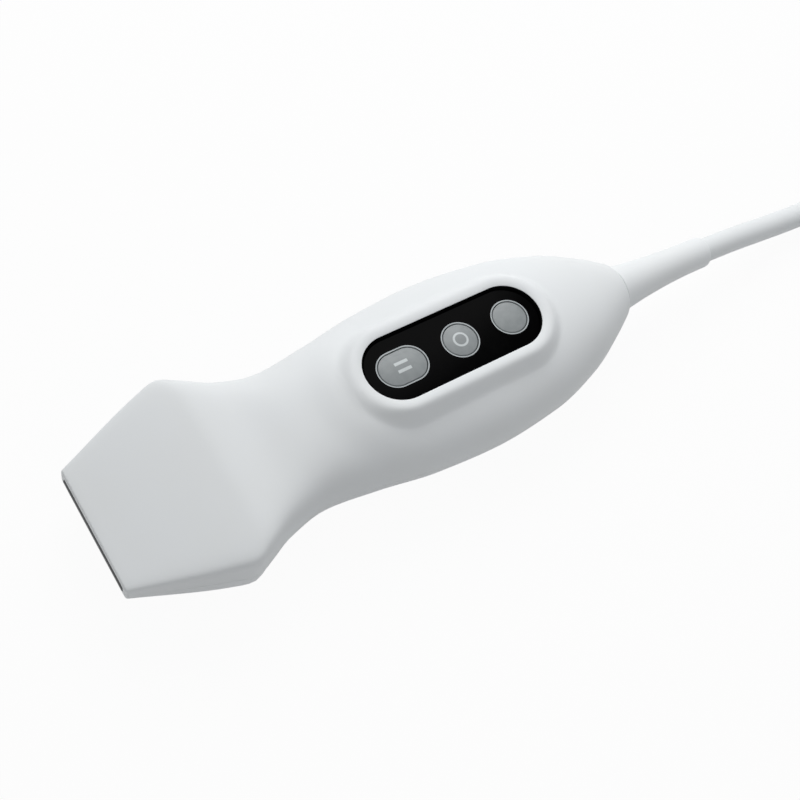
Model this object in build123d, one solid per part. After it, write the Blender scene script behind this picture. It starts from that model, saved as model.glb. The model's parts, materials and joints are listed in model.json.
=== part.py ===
# Hand-held ultrasound probe: a flat blade head, a palm grip with three panel buttons,
# a moulded tail boot and a cable folded into a tied hank, ending in a rectangular plug.
# Millimetres. X runs from the lens to the tail, Y across the probe, Z up from the belly.
import os
from math import pi, radians, tan

from build123d import *

os.makedirs("parts", exist_ok=True)

# Overall lengths: the widest part of the grip behind the lens, and what follows it
GRIP_AT = 109.0
REAR_LENGTH = 58.5
BODY_LENGTH = GRIP_AT + REAR_LENGTH
BOOT_LENGTH = 36.0
WALL = 2.0
BELLY_FLAT = 0.6


class Section:
    def __init__(self, at, half_width, crown, belly, fullness, edge=0.0, under=0.0):
        self.at = at
        self.half_width = half_width
        self.crown = crown
        self.belly = belly
        self.fullness = fullness
        self.edge = edge
        self.under = under


# Housing sections from the blade lip to the tail collar: distance behind the lens,
# half width, height over the seam, depth under it, how full the corners are, and
# how crisp the upper and the under edges of the blade are.
LENS_PROUD = 0.3
LIP = Section(LENS_PROUD, 18.2, 3.3, 3.2, 0.9, 1.0, 0.95)
CHEEK = Section(25.5, 27.2, 9.2, 7.6, 0.9, 1.0, 0.85)
SHOULDER = Section(31.0, 28.6, 10.3, 8.5, 0.88, 0.95, 0.7)
SHOULDER_BACK = Section(36.0, 26.7, 11.1, 9.6, 0.84, 0.75, 0.45)
WAIST = Section(45.0, 22.7, 11.2, 11.7, 0.76, 0.4, 0.2)
NECK = Section(56.5, 20.5, 12.7, 13.1, 0.68, 0.1)
HEEL = Section(72.0, 22.3, 14.8, 14.1, 0.64)
PALM = Section(90.0, 25.2, 15.4, 16.0, 0.62)
GRIP = Section(GRIP_AT, 26.3, 15.9, 16.0, 0.62)
BACK = Section(BODY_LENGTH - 37.5, 24.5, 15.6, 15.6, 0.62)
FLANK = Section(BODY_LENGTH - 20.5, 19.7, 14.6, 13.8, 0.62)
TAIL = Section(BODY_LENGTH - 8.5, 13.6, 11.8, 11.0, 0.6)
COLLAR = Section(BODY_LENGTH, 8.4, 8.4, 8.4, 0.5523)
SECTIONS = [
    LIP, CHEEK, SHOULDER, SHOULDER_BACK, WAIST, NECK, HEEL,
    PALM, GRIP, BACK, FLANK, TAIL, COLLAR,
]
RING_COUNT = 34

# Acoustic stack in the blade lip
LENS_HALF_WIDTH = 16.2
LENS_HEIGHT = 2.8
LENS_DEPTH = 2.6
LENS_CROWN = 0.5
MATCHING_DEPTH = 0.5
PIEZO_DEPTH = 0.6
BACKING_DEPTH = 11.0
CARRIER_DEPTH = 5.0
CARRIER_WALL = 0.8
FLEX_THICK = 0.3
FLEX_HALF_WIDTH = 10.0
FLEX_LEVEL_RUN = 22.0
FLEX_BEND = 6.0
SPREADER_THICK = 1.0
SPREADER_HALF_WIDTH = 9.0
SPREADER_LEAD = 4.0
SPREADER_LAP = 24.0
SPREADER_BEND = 8.0

# Cavity ends and the seam gasket
CAVITY_FRONT = 10.5
TAIL_WALL = 5.0
SEAL_WIDTH = 0.6
SEAL_HEIGHT = 1.0

# Main board under the seam
BOARD_FROM = 58.0
BOARD_TAIL_GAP = 21.5
BOARD_HALF_WIDTH = 15.5
BOARD_TOP = -1.4
BOARD_THICK = 1.6
SCREW_INSET = 5.0
SCREW_OUT = 12.5
SCREW_DIAMETER = 2.0
SCREW_HEAD_DIAMETER = 3.8
SCREW_HEAD_HEIGHT = 1.5
SCREW_BITE = 5.0
BOSS_DIAMETER = 5.2
HOLE_CLEARANCE = 0.2
CHIP_HEIGHT = 1.2
CHIP_SIDE = 9.0
CHIP_OUT = 7.5
CHIP_PITCH = 11.0
CHIP_GAP = 1.5
CAN_LENGTH = 20.0
CAN_HALF_WIDTH = 10.0
CAN_HEIGHT = 3.6
CAN_WALL = 0.4
SOCKET_HEIGHT = 1.8
SOCKET_DEPTH = 4.0
SOCKET_MARGIN = 1.0
SOCKET_FROM_EDGE = 12.0
CONNECTOR_HEIGHT = 3.6
CONNECTOR_DEPTH = 7.0
CONNECTOR_HALF_WIDTH = 5.0

# Button panel on the grip
WINDOW_FRONT = 77.6
FRONT_MARGIN = 3.8
BUTTON_GAP = 5.6
BACK_MARGIN = 3.4
WINDOW_HALF_WIDTH = 9.9
WINDOW_TOP = 16.0
WINDOW_THICK = 1.4
WINDOW_FIT = 0.05
TAPE_THICK = 0.2
LEDGE_WIDTH = 1.2
RIM_WIDTH = 3.1
RIM_TOP = 17.5
RIM_ROUND = 1.5
OVAL_HALF_LENGTH = 7.6
OVAL_HALF_WIDTH = 5.45
ROUND_RADIUS = 5.45
RING_WALL = 0.35
CAP_CLEARANCE = 0.25
CAP_PROUD = 0.3
CAP_ROUND = 0.4
FLANGE_OUT = 0.5
FLANGE_THICK = 0.8
FLANGE_GAP = 0.15
STEM_DIAMETER = 3.0
BUTTON_TRAVEL = 0.4
SWITCH_GAP = 0.5
SWITCH_SIDE = 5.0
SWITCH_HEIGHT = 1.2
KEY_BOARD_TOP = 9.6
KEY_BOARD_THICK = 1.0
KEY_BOARD_OVERHANG = 0.8
KEY_BOARD_HALF_WIDTH = 13.1
KEY_SCREW_INSET = 13.0
KEY_SCREW_OUT = 10.9
KEY_SCREW_DIAMETER = 1.6
KEY_SCREW_HEAD = 3.0
KEY_SCREW_HEAD_HEIGHT = 0.9
KEY_SCREW_BITE = 2.0
KEY_BOSS_DIAMETER = 4.0
LED_SIDE = 1.6
LED_HEIGHT = 0.7
LINK_THICK = 0.3
LINK_HALF_WIDTH = 5.0
LINK_GAP = 1.5
LINK_FOOT = 5.0
LINK_LAP = 9.5
LINK_ROOM = 10.0

# Tail boot and cable entry
CABLE_DIAMETER = 7.5
BOOT_BASE_DIAMETER = 14.4
BOOT_TIP_DIAMETER = 9.6
BOOT_FLARE = 2.2
BOOT_RINGS = 13
BOOT_NECK_DIAMETER = 12.0
BOOT_FLANGE_DIAMETER = 14.4
BOOT_FLANGE_THICK = 2.0
CLAMP_DIAMETER = 9.6
CLAMP_LENGTH = 5.0
CABLE_STUB = 0.5
WIRE_DIAMETER = 1.1
WIRE_COUNT = 5

# Cable lay: drooping out of the boot to a tied hank in line with the probe, the plug on top
BEND_IN_BOOT = 3.5
CABLE_SAG_RUN = 48.0
CABLE_LEVEL_RUN = 12.0
HANK_GAP = 32.0
HANK_RUN = 80.0
HANK_ACROSS = -20.0
HANK_FOLD_RADIUS = 26.25
HANK_TURNS = 2
HANK_ROUND = 3.0
LEAD_BITE = 20.0
LEAD_RISE = 0.5
TAIL_RUN = 14.0
TAIL_FOLD = (2.0, 0.0, 0.0)
TAIL_ROOT = (26.0, 14.25, 10.1)
TIE_THICK = 0.8
TIE_WIDTH = 12.0
PLUG_BOOT_LENGTH = 14.0
PLUG_BOOT_TIP = 9.4
PLUG_BOOT_STEP = 0.2
GRIP_LENGTH = 32.0
GRIP_WIDTH = 17.0
GRIP_HEIGHT = 10.4
GRIP_ROUND = 2.0
PLUG_WIDTH = 12.0
PLUG_HEIGHT = 4.5
PLUG_LENGTH = 18.0
PLUG_WALL = 0.4
PLUG_SEAT = 5.0
TONGUE_HEIGHT = 1.9
TONGUE_INSET = 0.8

# Places worked out from the sizes above, from the lens or, for the panel, along the window
OVAL_AT = WINDOW_FRONT + FRONT_MARGIN + OVAL_HALF_LENGTH
ROUND_AT = OVAL_AT + OVAL_HALF_LENGTH + BUTTON_GAP + ROUND_RADIUS
END_AT = ROUND_AT + BUTTON_GAP + 2 * ROUND_RADIUS
WINDOW_HALF_LENGTH = (END_AT + ROUND_RADIUS + BACK_MARGIN - WINDOW_FRONT) / 2
PANEL_AT = WINDOW_FRONT + WINDOW_HALF_LENGTH
KEY_BOARD_HALF_LENGTH = WINDOW_HALF_LENGTH + KEY_BOARD_OVERHANG
KEY_SCREW_ALONG = KEY_BOARD_HALF_LENGTH - KEY_SCREW_INSET
BOARD_TO = BODY_LENGTH - BOARD_TAIL_GAP
SCREW_FRONT = BOARD_FROM + SCREW_INSET
SCREW_BACK = BOARD_TO - SCREW_INSET
CABLE_INNER_END = BODY_LENGTH - TAIL_WALL - BOOT_FLANGE_THICK - CLAMP_LENGTH - CABLE_STUB
CABLE_BEND_AT = BODY_LENGTH + BOOT_LENGTH - BEND_IN_BOOT
CABLE_LEVEL_AT = CABLE_BEND_AT + CABLE_SAG_RUN
CABLE_END = CABLE_LEVEL_AT + CABLE_LEVEL_RUN
HANK_AT = CABLE_END + HANK_GAP
FRONT_X = -(BODY_LENGTH + BOOT_LENGTH) / 2
SEAM_Z = GRIP.belly - BELLY_FLAT
CABLE_RADIUS = CABLE_DIAMETER / 2


def at(x, y=0.0, z=0.0):
    # A point given by its distance behind the lens, across, and over the seam.
    return (FRONT_X + x, y, SEAM_Z + z)


def slab(x_from, x_to, y_from, y_to, z_from, z_to):
    centre = at((x_from + x_to) / 2, (y_from + y_to) / 2, (z_from + z_to) / 2)
    return Pos(*centre) * Box(x_to - x_from, y_to - y_from, z_to - z_from)


def bar(x_from, x_to, half_width, z_from, z_to):
    return slab(x_from, x_to, -half_width, half_width, z_from, z_to)


def post(x, y, radius, z_from, z_to):
    return Pos(*at(x, y, (z_from + z_to) / 2)) * Cylinder(radius, z_to - z_from)


def rod(x_from, x_to, radius, y=0.0, z=0.0):
    return Pos(*at((x_from + x_to) / 2, y, z)) * Rot(0, 90, 0) * Cylinder(radius, x_to - x_from)


def oblong(x, half_length, half_width, z_from, z_to):
    outline = Circle(half_width)
    if half_length > half_width:
        outline = SlotOverall(2 * half_length, 2 * half_width)
    return extrude(Plane(at(x, 0, z_from)) * outline, z_to - z_from)


def strip(points, thickness, half_width, bend):
    # A flat lead bent in the middle plane of the probe and spread to both sides of it.
    side = Plane(origin=at(0, half_width, 0), x_dir=(1, 0, 0), z_dir=(0, -1, 0))
    line = FilletPolyline(*points, radius=bend)
    return extrude(side * trace(line, thickness), 2 * half_width)


def slopes(xs, ys):
    # End slopes follow the end spans; a slope between two spans never overshoots either one.
    spans = [b - a for a, b in zip(xs, xs[1:])]
    rises = [(b - a) / span for a, b, span in zip(ys, ys[1:], spans)]
    found = [rises[0]]
    for before, after, span, next_span in zip(rises, rises[1:], spans, spans[1:]):
        if before * after <= 0:
            found.append(0.0)
            continue
        near = 2 * next_span + span
        far = next_span + 2 * span
        found.append((near + far) / (near / before + far / after))
    return found + [rises[-1]]


def fair(x, name):
    # One size of the housing at any distance behind the lens, faired through the sections.
    xs = [section.at for section in SECTIONS]
    ys = [getattr(section, name) for section in SECTIONS]
    leads = slopes(xs, ys)
    i = max(n for n in range(len(xs) - 1) if n == 0 or xs[n] <= x)
    span = xs[i + 1] - xs[i]
    u = (x - xs[i]) / span
    start = (1 + 2 * u) * (1 - u) ** 2 * ys[i] + u * (1 - u) ** 2 * span * leads[i]
    finish = u * u * (3 - 2 * u) * ys[i + 1] + u * u * (u - 1) * span * leads[i + 1]
    return start + finish


def corner(fullness, crisp):
    # A quarter of a section from the flank to the ridge, as shares of its width and height.
    soft_near, soft_far = 0.6 * fullness, 0.3 + 0.6 * fullness
    rise = soft_near + crisp * (0.5 - soft_near)
    reach = soft_near + crisp * (1 - soft_near)
    far = soft_far + crisp * (1 - soft_far)
    wide = 0.7 + 0.3 * fullness + crisp * 0.3 * (1 - fullness)
    return [(1, 0), (1, rise), (wide, far), (far, wide), (reach, 1), (0, 1)]


def housing_ring(x, inset):
    w = fair(x, "half_width") - inset
    t = fair(x, "crown") - inset
    b = fair(x, "belly") - inset
    k = fair(x, "fullness")
    over = corner(k, fair(x, "edge"))
    under = corner(k, fair(x, "under"))
    outline = [
        Bezier(*[(side * w * across, height * up) for across, up in share])
        for side, height, share in ((1, t, over), (-1, t, over), (-1, -b, under), (1, -b, under))
    ]
    plane = Plane(origin=at(x), x_dir=(0, 1, 0), z_dir=(1, 0, 0))
    return plane * make_face(outline)


def housing(inset=0.0):
    pitch = (COLLAR.at - LIP.at) / (RING_COUNT - 1)
    return loft([housing_ring(LIP.at + pitch * i, inset) for i in range(RING_COUNT)])


# Housing: one outer form, hollowed by the wall, cut flat under the belly and split at the seam
FAR = 2 * BODY_LENGTH
outer = housing() - bar(-FAR, FAR, FAR, -FAR, -SEAM_Z)
cavity_back = BODY_LENGTH - TAIL_WALL
cavity = housing(WALL) & bar(CAVITY_FRONT, cavity_back, FAR, -FAR, FAR)
cavity -= bar(-FAR, FAR, FAR, -FAR, WALL - SEAM_Z)
above = bar(-FAR, FAR, FAR, 0, FAR)
below = bar(-FAR, FAR, FAR, -FAR, 0)

stack_half = LENS_HEIGHT / 2
stack_end = LENS_DEPTH + MATCHING_DEPTH + PIEZO_DEPTH + BACKING_DEPTH
lip_opening = bar(0, stack_end, LENS_HALF_WIDTH, -stack_half, stack_half)
carrier_half = stack_half + CARRIER_WALL
carrier_half_width = LENS_HALF_WIDTH + CARRIER_WALL
carrier_to = stack_end + SPREADER_THICK
carrier_from = carrier_to - CARRIER_DEPTH
carrier_seat = bar(carrier_from, carrier_to, carrier_half_width, -carrier_half, carrier_half)
tail_opening = rod(cavity_back, BODY_LENGTH, BOOT_NECK_DIAMETER / 2)

seal_band = housing((WALL - SEAL_WIDTH) / 2) - housing((WALL + SEAL_WIDTH) / 2)
seal_back = cavity_back + TAIL_WALL / 2
shell_seal = seal_band & bar(CAVITY_FRONT, seal_back, FAR, -SEAL_HEIGHT / 2, SEAL_HEIGHT / 2)

shell = outer - cavity - lip_opening - carrier_seat - tail_opening - shell_seal

# Button panel: raised rim, window pocket and a ledge for the window to lie on
ledge_z = WINDOW_TOP - WINDOW_THICK - TAPE_THICK
rim_root = GRIP.crown - WALL
rim = oblong(PANEL_AT, WINDOW_HALF_LENGTH + RIM_WIDTH, WINDOW_HALF_WIDTH + RIM_WIDTH,
             rim_root, RIM_TOP)
rim = fillet(rim.faces().sort_by(Axis.Z)[-1].edges(), RIM_ROUND)
pocket = oblong(PANEL_AT, WINDOW_HALF_LENGTH, WINDOW_HALF_WIDTH, ledge_z, RIM_TOP)
through = oblong(PANEL_AT, WINDOW_HALF_LENGTH - LEDGE_WIDTH, WINDOW_HALF_WIDTH - LEDGE_WIDTH,
                 0, RIM_TOP)
key_bosses = [
    post(PANEL_AT + along, out, KEY_BOSS_DIAMETER / 2, KEY_BOARD_TOP, rim_root) & outer
    for along in (-KEY_SCREW_ALONG, KEY_SCREW_ALONG)
    for out in (-KEY_SCREW_OUT, KEY_SCREW_OUT)
]
key_holes = [
    post(PANEL_AT + along, out, KEY_SCREW_DIAMETER / 2, KEY_BOARD_TOP, KEY_BOARD_TOP + KEY_SCREW_BITE)
    for along in (-KEY_SCREW_ALONG, KEY_SCREW_ALONG)
    for out in (-KEY_SCREW_OUT, KEY_SCREW_OUT)
]
upper_shell = (shell & above) + (rim - cavity)
for boss in key_bosses:
    upper_shell += boss
upper_shell = upper_shell - pocket - through
for hole in key_holes:
    upper_shell -= hole

# Lower shell with four bosses for the main board
board_under = BOARD_TOP - BOARD_THICK
screw_places = [
    (x, y) for x in (SCREW_FRONT, SCREW_BACK) for y in (-SCREW_OUT, SCREW_OUT)
]
lower_shell = shell & below
for x, y in screw_places:
    lower_shell += post(x, y, BOSS_DIAMETER / 2, -SEAM_Z, board_under) & outer
for x, y in screw_places:
    lower_shell -= post(x, y, SCREW_DIAMETER / 2, board_under - SCREW_BITE, board_under)

# Acoustic stack: lens, matching layer, piezo bar, backing and the frame that grips it
lens_profile = Plane(origin=at(0, LENS_HALF_WIDTH, 0), x_dir=(1, 0, 0), z_dir=(0, -1, 0)) * make_face([
    Line((LENS_DEPTH, -stack_half), (LENS_CROWN, -stack_half)),
    ThreePointArc((LENS_CROWN, -stack_half), (0, 0), (LENS_CROWN, stack_half)),
    Line((LENS_CROWN, stack_half), (LENS_DEPTH, stack_half)),
    Line((LENS_DEPTH, stack_half), (LENS_DEPTH, -stack_half)),
])
acoustic_lens = extrude(lens_profile, 2 * LENS_HALF_WIDTH)
layer_x = LENS_DEPTH
matching_layer = bar(layer_x, layer_x + MATCHING_DEPTH, LENS_HALF_WIDTH, -stack_half, stack_half)
layer_x += MATCHING_DEPTH
piezo_array = bar(layer_x, layer_x + PIEZO_DEPTH, LENS_HALF_WIDTH, -stack_half, stack_half)
layer_x += PIEZO_DEPTH
backing_block = bar(layer_x, stack_end, LENS_HALF_WIDTH, -stack_half, stack_half)
array_carrier = carrier_seat - bar(carrier_from, carrier_to, LENS_HALF_WIDTH, -stack_half, stack_half)

flex_root = stack_half / 2
socket_x = BOARD_FROM + SOCKET_FROM_EDGE
array_flex = strip(
    [
        (stack_end, flex_root),
        (stack_end + FLEX_LEVEL_RUN, flex_root),
        (BOARD_FROM, BOARD_TOP + FLEX_THICK / 2),
        (socket_x, BOARD_TOP + FLEX_THICK / 2),
    ],
    FLEX_THICK, FLEX_HALF_WIDTH, FLEX_BEND,
)
flex_socket = bar(socket_x, socket_x + SOCKET_DEPTH, FLEX_HALF_WIDTH + SOCKET_MARGIN, BOARD_TOP,
                  BOARD_TOP + SOCKET_HEIGHT)
spreader_root = -stack_half / 2
spreader_under = board_under - SPREADER_THICK / 2
heat_spreader = strip(
    [
        (stack_end, spreader_root),
        (stack_end + FLEX_LEVEL_RUN, spreader_root),
        (BOARD_FROM - SPREADER_LEAD, spreader_under),
        (BOARD_FROM + SPREADER_LAP, spreader_under),
    ],
    SPREADER_THICK, SPREADER_HALF_WIDTH, SPREADER_BEND,
)

# Main board and what is soldered to it
main_board = bar(BOARD_FROM, BOARD_TO, BOARD_HALF_WIDTH, board_under, BOARD_TOP)
for x, y in screw_places:
    main_board -= post(x, y, SCREW_DIAMETER / 2 + HOLE_CLEARANCE / 2, board_under, BOARD_TOP)
chip_from = socket_x + SOCKET_DEPTH + CHIP_GAP
half_chip = CHIP_SIDE / 2
front_end_chips = Part() + [
    slab(chip_from + row, chip_from + row + CHIP_SIDE, side - half_chip, side + half_chip,
         BOARD_TOP, BOARD_TOP + CHIP_HEIGHT)
    for row in (0, CHIP_PITCH)
    for side in (-CHIP_OUT, CHIP_OUT)
]
connector_from = BOARD_TO - CONNECTOR_DEPTH
can_to = connector_from - LINK_ROOM
can_from = can_to - CAN_LENGTH
shield_can = bar(can_from, can_to, CAN_HALF_WIDTH, BOARD_TOP, BOARD_TOP + CAN_HEIGHT)
shield_can -= bar(can_from + CAN_WALL, can_to - CAN_WALL, CAN_HALF_WIDTH - CAN_WALL, BOARD_TOP,
                  BOARD_TOP + CAN_HEIGHT - CAN_WALL)
can_middle = (can_from + can_to) / 2
processor_chip = bar(can_middle - half_chip, can_middle + half_chip, half_chip, BOARD_TOP,
                     BOARD_TOP + CHIP_HEIGHT)
cable_connector = bar(connector_from, BOARD_TO, CONNECTOR_HALF_WIDTH, BOARD_TOP,
                      BOARD_TOP + CONNECTOR_HEIGHT)
board_screws = Part() + [
    post(x, y, SCREW_HEAD_DIAMETER / 2, BOARD_TOP, BOARD_TOP + SCREW_HEAD_HEIGHT)
    + post(x, y, SCREW_DIAMETER / 2, board_under - SCREW_BITE, BOARD_TOP)
    for x, y in screw_places
]

# Window, its tape, the trim rings and the three buttons with their switches
window_under = WINDOW_TOP - WINDOW_THICK
buttons = {
    "freeze_button": (OVAL_AT, OVAL_HALF_LENGTH, OVAL_HALF_WIDTH),
    "mode_button": (ROUND_AT, ROUND_RADIUS, ROUND_RADIUS),
    "save_button": (END_AT, ROUND_RADIUS, ROUND_RADIUS),
}
button_window = oblong(PANEL_AT, WINDOW_HALF_LENGTH - WINDOW_FIT, WINDOW_HALF_WIDTH - WINDOW_FIT,
                       window_under, WINDOW_TOP)
window_tape = oblong(PANEL_AT, WINDOW_HALF_LENGTH, WINDOW_HALF_WIDTH, ledge_z, window_under)
window_tape -= through
trim_rings = Part()
dome_switches = Part()
ring_lights = Part()
flange_top = window_under - FLANGE_GAP
flange_under = flange_top - FLANGE_THICK
switch_top = KEY_BOARD_TOP + SWITCH_HEIGHT
stem_end = switch_top + SWITCH_GAP
nodes = {}
for name, (x, half_length, half_width) in buttons.items():
    button_window -= oblong(x, half_length, half_width, window_under, WINDOW_TOP)
    inner_length = half_length - RING_WALL
    inner_width = half_width - RING_WALL
    trim_rings += (oblong(x, half_length, half_width, window_under, WINDOW_TOP)
                   - oblong(x, inner_length, inner_width, window_under, WINDOW_TOP))
    cap = oblong(x, inner_length - CAP_CLEARANCE, inner_width - CAP_CLEARANCE,
                 flange_under, WINDOW_TOP + CAP_PROUD)
    cap = fillet(cap.faces().sort_by(Axis.Z)[-1].edges(), CAP_ROUND)
    cap += oblong(x, half_length + FLANGE_OUT, half_width + FLANGE_OUT, flange_under, flange_top)
    cap += post(x, 0, STEM_DIAMETER / 2, stem_end, flange_under)
    nodes[name] = cap
    half_switch = SWITCH_SIDE / 2
    dome_switches += bar(x - half_switch, x + half_switch, half_switch, KEY_BOARD_TOP, switch_top)
    led_x = x - half_length
    ring_lights += bar(led_x - LED_SIDE / 2, led_x + LED_SIDE / 2, LED_SIDE / 2,
                       KEY_BOARD_TOP, KEY_BOARD_TOP + LED_HEIGHT)

key_board_under = KEY_BOARD_TOP - KEY_BOARD_THICK
key_board = bar(PANEL_AT - KEY_BOARD_HALF_LENGTH, PANEL_AT + KEY_BOARD_HALF_LENGTH,
                KEY_BOARD_HALF_WIDTH, key_board_under, KEY_BOARD_TOP)
key_board_screws = Part()
for along in (-KEY_SCREW_ALONG, KEY_SCREW_ALONG):
    for out in (-KEY_SCREW_OUT, KEY_SCREW_OUT):
        x = PANEL_AT + along
        hole_radius = KEY_SCREW_DIAMETER / 2 + HOLE_CLEARANCE / 2
        key_board -= post(x, out, hole_radius, key_board_under, KEY_BOARD_TOP)
        key_board_screws += (
            post(x, out, KEY_SCREW_HEAD / 2, key_board_under - KEY_SCREW_HEAD_HEIGHT, key_board_under)
            + post(x, out, KEY_SCREW_DIAMETER / 2, key_board_under, KEY_BOARD_TOP + KEY_SCREW_BITE)
        )

# Ribbon between the two boards
link_x = connector_from - LINK_GAP
link_top = key_board_under - LINK_THICK / 2
link_low = BOARD_TOP + LINK_THICK / 2
board_link = strip(
    [
        (link_x - LINK_LAP, link_top),
        (link_x, link_top),
        (link_x, link_low),
        (link_x - LINK_FOOT, link_low),
    ],
    LINK_THICK, LINK_HALF_WIDTH, LINK_GAP,
)

# Cable: straight out of the housing, drooping from the boot, then level into the hank
hank_side = HANK_TURNS * CABLE_DIAMETER
hank_top = TIE_THICK + hank_side - SEAM_Z
lead_z = TIE_THICK + CABLE_RADIUS + LEAD_RISE - SEAM_Z
route = [
    at(CABLE_INNER_END),
    at(CABLE_BEND_AT),
    at(CABLE_LEVEL_AT, 0, lead_z),
    at(CABLE_END, 0, lead_z),
]


def cord_line(points):
    # Straight runs joined by arcs as large as the shorter run beside each corner allows.
    runs = [(Vector(b) - Vector(a)) for a, b in zip(points, points[1:])]
    radii = []
    for first, second in zip(runs, runs[1:]):
        turn = radians(first.get_angle(second))
        radii.append(0.45 * min(first.length, second.length) / tan(turn / 2))
    print("cord radii", [round(radius, 1) for radius in radii])
    return FilletPolyline(*points, radius=radii)


def cord_tube(points):
    line = cord_line(points)
    tube = sweep(Plane(origin=points[0], z_dir=(1, 0, 0)) * Circle(CABLE_RADIUS), path=line)
    ratio = tube.volume / (pi * CABLE_RADIUS ** 2 * line.length)
    print("cord length", round(line.length, 1), "volume ratio", round(ratio, 4))
    return tube


cable = cord_tube(route)

# Tail boot: a flange held behind the tail wall, a neck through it and a flared sleeve on the cable
cable_line = cord_line(route)
boot_rings = []
for i in range(BOOT_RINGS):
    along = i / (BOOT_RINGS - 1)
    flare = (BOOT_BASE_DIAMETER - BOOT_TIP_DIAMETER) * (1 - along) ** BOOT_FLARE
    share = (BODY_LENGTH - CABLE_INNER_END + along * BOOT_LENGTH) / cable_line.length
    ring = Plane(origin=cable_line.position_at(share), z_dir=cable_line.tangent_at(share))
    boot_rings.append(ring * Circle((BOOT_TIP_DIAMETER + flare) / 2))
strain_relief_boot = loft(boot_rings)
strain_relief_boot += rod(cavity_back, BODY_LENGTH, BOOT_NECK_DIAMETER / 2)
strain_relief_boot += rod(cavity_back - BOOT_FLANGE_THICK, cavity_back, BOOT_FLANGE_DIAMETER / 2)
strain_relief_boot -= cable
clamp_to = cavity_back - BOOT_FLANGE_THICK
cable_clamp = (rod(clamp_to - CLAMP_LENGTH, clamp_to, CLAMP_DIAMETER / 2)
               - rod(clamp_to - CLAMP_LENGTH, clamp_to, CABLE_RADIUS))
wire_pitch = WIRE_DIAMETER + HOLE_CLEARANCE
wire_z = BOARD_TOP + CONNECTOR_HEIGHT / 2
wire_loom = Part() + [
    rod(BOARD_TO, CABLE_INNER_END, WIRE_DIAMETER / 2, wire_pitch * (i - (WIRE_COUNT - 1) / 2), wire_z)
    for i in range(WIRE_COUNT)
]


# Hank: two legs joined by two folds, with the tie round the near leg
def hank_section(x, y, grow=0.0):
    plane = Plane(origin=at(x, y, hank_top - hank_side / 2), x_dir=(0, 1, 0), z_dir=(1, 0, 0))
    side = hank_side + 2 * grow
    return plane * RectangleRounded(side, side, HANK_ROUND + grow)


def hank_fold(x, side):
    middle = Axis(at(x, HANK_ACROSS), (0, 0, 1))
    return revolve(hank_section(x, HANK_ACROSS + side * HANK_FOLD_RADIUS), middle, 180)


far_leg = HANK_ACROSS + HANK_FOLD_RADIUS
near_leg = HANK_ACROSS - HANK_FOLD_RADIUS
cable_coil = hank_fold(HANK_AT, 1) + hank_fold(HANK_AT + HANK_RUN, -1)
for y in (far_leg, near_leg):
    cable_coil += extrude(hank_section(HANK_AT, y), HANK_RUN)
cable_coil += rod(CABLE_END, CABLE_END + LEAD_BITE, CABLE_RADIUS, 0, lead_z)
tie_from = HANK_AT + (HANK_RUN - TIE_WIDTH) / 2
tie_section = hank_section(tie_from, near_leg, TIE_THICK) - hank_section(tie_from, near_leg)
coil_tie = extrude(tie_section, TIE_WIDTH)

# The cable's tail climbs onto the far leg, and the plug lies along it
plug_z = hank_top + GRIP_HEIGHT / 2
plug_y = far_leg
tail_to = HANK_AT + TAIL_RUN
tail_points = [at(tail_to, plug_y, plug_z)] + [
    at(HANK_AT - back, plug_y - aside, plug_z - down) for back, aside, down in (TAIL_FOLD, TAIL_ROOT)
]
cable_coil += cord_tube(tail_points)

plug_boot_to = tail_to + PLUG_BOOT_LENGTH
plug_boot = Pos(*at((tail_to + plug_boot_to) / 2, plug_y, plug_z)) * Rot(0, 90, 0) * Cone(
    PLUG_BOOT_TIP / 2, GRIP_HEIGHT / 2 - PLUG_BOOT_STEP, PLUG_BOOT_LENGTH)
grip_to = plug_boot_to + GRIP_LENGTH
half_grip = GRIP_WIDTH / 2
plug_grip = slab(plug_boot_to, grip_to, plug_y - half_grip, plug_y + half_grip,
                 plug_z - GRIP_HEIGHT / 2, plug_z + GRIP_HEIGHT / 2)
plug_grip = fillet(plug_grip.edges().filter_by(Axis.X), GRIP_ROUND)
half_plug = PLUG_WIDTH / 2
plug_to = grip_to + PLUG_LENGTH
plug_from = grip_to - PLUG_SEAT
plug_body = slab(plug_from, plug_to, plug_y - half_plug, plug_y + half_plug,
                 plug_z - PLUG_HEIGHT / 2, plug_z + PLUG_HEIGHT / 2)
plug_grip -= plug_body
half_bore = half_plug - PLUG_WALL
bore_height = PLUG_HEIGHT / 2 - PLUG_WALL
plug_shell = plug_body - slab(plug_from, plug_to, plug_y - half_bore, plug_y + half_bore,
                              plug_z - bore_height, plug_z + bore_height)
plug_tongue = slab(plug_from, plug_to - TONGUE_INSET, plug_y - half_bore, plug_y + half_bore,
                   plug_z + bore_height - TONGUE_HEIGHT, plug_z + bore_height)

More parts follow.
